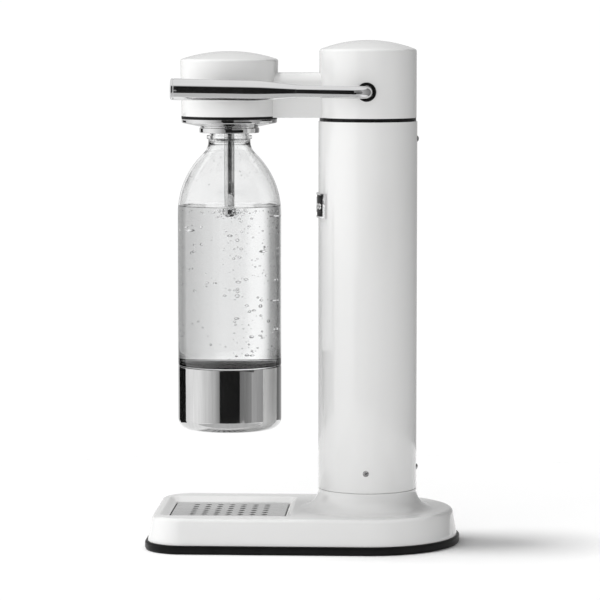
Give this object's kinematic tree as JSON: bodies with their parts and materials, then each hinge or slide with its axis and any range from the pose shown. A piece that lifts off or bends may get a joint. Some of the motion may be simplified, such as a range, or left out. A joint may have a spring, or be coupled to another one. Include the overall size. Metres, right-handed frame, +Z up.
{
  "type": "soda carbonator",
  "caption": "Countertop carbonator: white column on a long base with drip tray, arm with nozzle over a clear bottle in a steel cup, side lever and gas cylinder inside.",
  "frame": {"origin": "centre of the footprint on the standing surface", "axes": "+Z up, -Y towards the bottle at the front, +X towards the lever on the right"},
  "size_m": [0.1526, 0.2566, 0.414],
  "materials": {
    "enamel": "high-gloss white enamel",
    "foot_rubber": "matt black moulded rubber",
    "plain_steel": "plain zinc-plated sheet steel",
    "fastener": "bright steel, socket-head",
    "black_plastic": "fine-grained black plastic",
    "grille_steel": "satin brushed steel",
    "cast_alloy": "as-cast aluminium, turned faces",
    "seal_rubber": "soft black rubber",
    "chrome": "polished chrome",
    "core_plastic": "natural moulded plastic",
    "tube_steel": "bright drawn steel",
    "brass": "machined brass",
    "spring_steel": "spring wire",
    "cylinder_paint": "satin grey paint",
    "clear_bottle": "clear PET",
    "cup_steel": "brushed steel"
  },
  "bodies": {
    "stand": {"base_shell": "enamel", "foot_ring": "foot_rubber", "base_plate": "plain_steel", "base_screws": "fastener", "column_socket": "cast_alloy", "cylinder_guide": "black_plastic", "column_tube": "enamel", "side_screws": "fastener", "back_screws": "fastener", "head_socket": "cast_alloy", "gap_ring": "black_plastic", "column_head": "enamel", "arm_shell": "enamel", "inner_frame": "plain_steel", "frame_screws": "fastener", "valve_block": "brass", "cylinder_seal": "seal_rubber", "plunger_spring": "spring_steel", "gas_tube": "core_plastic", "nozzle_head": "enamel", "head_gasket": "seal_rubber", "nozzle_bell": "chrome", "nozzle_collar": "chrome", "nozzle_core": "core_plastic", "nozzle_screws": "fastener", "bottle_seal": "seal_rubber", "carbonation_tube": "tube_steel", "nozzle_tip": "black_plastic", "relief_body": "brass", "relief_spring": "spring_steel", "lever_bush_right": "black_plastic", "lever_bush_left": "black_plastic", "badge_frame": "chrome", "badge_inlay": "black_plastic", "badge_emblem": "chrome"},
    "tray": {"drip_pan": "black_plastic"},
    "grille": {"drip_grille": "grille_steel"},
    "lever": {"lever_arm": "chrome", "lever_grip": "chrome", "lever_end_cap": "chrome", "lever_cam": "plain_steel"},
    "plunger": {"plunger": "tube_steel"},
    "gas_bottle": {"gas_cylinder": "cylinder_paint", "cylinder_valve": "brass"},
    "valve_pin": {"valve_pin": "tube_steel"},
    "relief_poppet": {"relief_poppet": "tube_steel"},
    "bottle": {"bottle_vessel": "clear_bottle", "bottle_cup": "cup_steel", "cup_liner": "black_plastic"}
  },
  "joints": [
    {"name": "lever_turn", "type": "hinge", "parent": "stand", "child": "lever", "pos_m": [0.03, 0.052, 0.3723], "axis": [1, 0, 0], "range_deg": [0, 35], "stiffness_Nm_per_rad": 1.6, "springref_deg": -20.05},
    {"name": "plunger_push", "type": "slide", "parent": "stand", "child": "plunger", "axis": [0, 0, -1], "range_m": [0, 0.0026], "deforming": ["plunger_spring"]},
    {"name": "cylinder_out", "type": "slide", "parent": "stand", "child": "gas_bottle", "axis": [0, 0, -1], "range_m": [0, 0.345]},
    {"name": "pin_push", "type": "slide", "parent": "gas_bottle", "child": "valve_pin", "axis": [0, 0, -1], "range_m": [0, 0.0026]},
    {"name": "relief_lift", "type": "slide", "parent": "stand", "child": "relief_poppet", "axis": [0, 0, 1], "range_m": [0, 0.0015], "stiffness_N_per_m": 900, "springref_m": -0.002, "deforming": ["relief_spring"]},
    {"name": "bottle_drop", "type": "slide", "parent": "stand", "child": "bottle", "axis": [0, 0, -1], "range_m": [0, 0.042]},
    {"name": "tray_lift", "type": "slide", "parent": "stand", "child": "tray", "axis": [0, 0, 1], "range_m": [0, 0.02]},
    {"name": "grille_lift", "type": "slide", "parent": "tray", "child": "grille", "axis": [0, 0, 1], "range_m": [0, 0.006]}
  ],
  "couplings": [
    {"joint": "plunger_push", "follows": "lever_turn", "m_per_rad": 0.0040926},
    {"joint": "pin_push", "follows": "lever_turn", "m_per_rad": 0.0040926}
  ]
}
